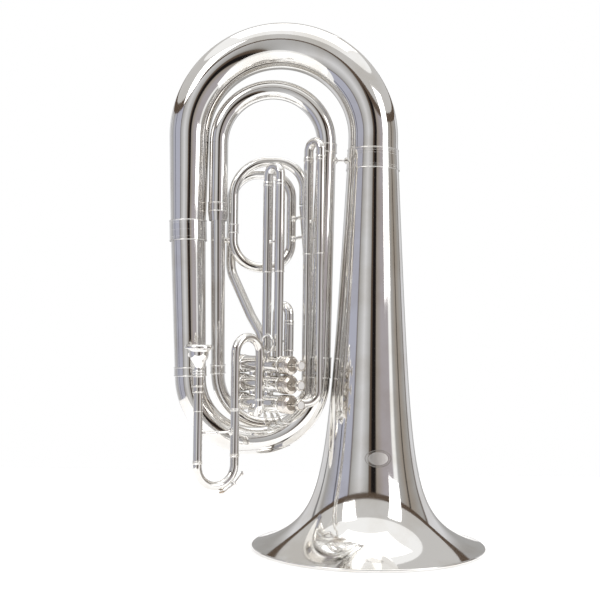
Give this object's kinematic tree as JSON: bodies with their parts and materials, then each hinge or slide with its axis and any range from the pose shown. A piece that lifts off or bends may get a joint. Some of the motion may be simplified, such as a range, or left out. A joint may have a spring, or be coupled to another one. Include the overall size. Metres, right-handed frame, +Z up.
{
  "type": "tuba",
  "caption": "Compact silver-plated front-action piston tuba standing on its bell, with sliding pistons, valve slides, a tuning slide, a water key and a removable mouthpiece.",
  "frame": {"origin": "on the floor under the centre of the instrument's bounding box, with the bell's rim standing on the floor", "axes": "+Z up along the bell's axis towards the top bow, +X from the tubing towards the bell, -Y towards the player's mouthpiece side"},
  "size_m": [0.526, 0.381, 0.8579],
  "materials": {
    "silver_plate": "bright silver plate over brass, lightly tarnished",
    "mouthpiece_silver": "polished silver plate",
    "piston_nickel": "honed nickel plate",
    "button_pearl": "silver-plated button with a pearl-like inlay",
    "spring_steel": "drawn spring wire",
    "felt": "pressed wool felt",
    "cork": "natural cork"
  },
  "bodies": {
    "instrument": {"bell": "silver_plate", "bell_rim_wire": "silver_plate", "bell_ferrule": "silver_plate", "top_bow": "silver_plate", "top_bow_guard": "silver_plate", "left_branch": "silver_plate", "left_branch_ferrule": "silver_plate", "bottom_bow": "silver_plate", "bottom_bow_ferrules": "silver_plate", "bottom_bow_guard": "silver_plate", "right_branch": "silver_plate", "inner_top_bow": "silver_plate", "inner_left_branch_upper": "silver_plate", "inner_left_branch_lower": "silver_plate", "inner_branch_reducer": "silver_plate", "inner_bottom_bow": "silver_plate", "inner_right_branch": "silver_plate", "main_coil": "silver_plate", "valve_outlet_tube": "silver_plate", "valve_casing_1": "silver_plate", "valve_casing_2": "silver_plate", "valve_casing_3": "silver_plate", "valve_top_caps": "silver_plate", "valve_bottom_caps": "silver_plate", "valve_knuckles": "silver_plate", "valve_slide_sleeves_1": "silver_plate", "valve_slide_sleeves_2": "silver_plate", "valve_slide_sleeves_3": "silver_plate", "mouthpiece_receiver": "silver_plate", "leadpipe": "silver_plate", "leadpipe_crook": "silver_plate", "leadpipe_elbow": "silver_plate", "tuning_slide_sleeves": "silver_plate", "thumb_ring": "silver_plate", "bell_brace": "silver_plate", "coil_brace": "silver_plate", "slide_braces": "silver_plate", "leadpipe_braces": "silver_plate", "valve_braces": "silver_plate", "tube_ferrules": "silver_plate", "valve_spring_1": "spring_steel", "valve_spring_2": "spring_steel", "valve_spring_3": "spring_steel"},
    "mouthpiece": {"mouthpiece": "mouthpiece_silver"},
    "tuning_slide": {"main_tuning_slide": "silver_plate"},
    "water_key": {"water_key_lever": "silver_plate", "water_key_cork": "cork", "water_key_spring": "spring_steel"},
    "valve_slide_1": {"valve_slide_1": "silver_plate"},
    "piston_1": {"piston_1": "piston_nickel", "finger_button_1": "button_pearl", "button_felt_1": "felt"},
    "valve_slide_2": {"valve_slide_2": "silver_plate"},
    "piston_2": {"piston_2": "piston_nickel", "finger_button_2": "button_pearl", "button_felt_2": "felt"},
    "valve_slide_3": {"valve_slide_3": "silver_plate"},
    "piston_3": {"piston_3": "piston_nickel", "finger_button_3": "button_pearl", "button_felt_3": "felt"}
  },
  "joints": [
    {"name": "mouthpiece_pull", "type": "slide", "parent": "instrument", "child": "mouthpiece", "axis": [0, 0, 1], "range_m": [0, 0.07]},
    {"name": "tuning_slide_pull", "type": "slide", "parent": "instrument", "child": "tuning_slide", "axis": [0, 0, -1], "range_m": [0, 0.045]},
    {"name": "water_key_hinge", "type": "hinge", "parent": "tuning_slide", "child": "water_key", "pos_m": [-0.13573, -0.11514, 0.11518], "axis": [0.5621, -0.8271, 0], "range_deg": [0, 16], "stiffness_Nm_per_rad": 0.02, "springref_deg": -28.65},
    {"name": "valve_slide_1_pull", "type": "slide", "parent": "instrument", "child": "valve_slide_1", "axis": [0, 0, 1], "range_m": [0, 0.08]},
    {"name": "valve_slide_2_pull", "type": "slide", "parent": "instrument", "child": "valve_slide_2", "axis": [0, 0, 1], "range_m": [0, 0.03]},
    {"name": "valve_slide_3_pull", "type": "slide", "parent": "instrument", "child": "valve_slide_3", "axis": [0, 0, 1], "range_m": [0, 0.09]},
    {"name": "piston_1_press", "type": "slide", "parent": "instrument", "child": "piston_1", "axis": [-0.7071, 0.7071, 0], "range_m": [0, 0.0145], "stiffness_N_per_m": 150, "springref_m": -0.02, "deforming": ["valve_spring_1"]},
    {"name": "piston_2_press", "type": "slide", "parent": "instrument", "child": "piston_2", "axis": [-0.7071, 0.7071, 0], "range_m": [0, 0.0145], "stiffness_N_per_m": 150, "springref_m": -0.02, "deforming": ["valve_spring_2"]},
    {"name": "piston_3_press", "type": "slide", "parent": "instrument", "child": "piston_3", "axis": [-0.7071, 0.7071, 0], "range_m": [0, 0.0145], "stiffness_N_per_m": 150, "springref_m": -0.02, "deforming": ["valve_spring_3"]}
  ]
}
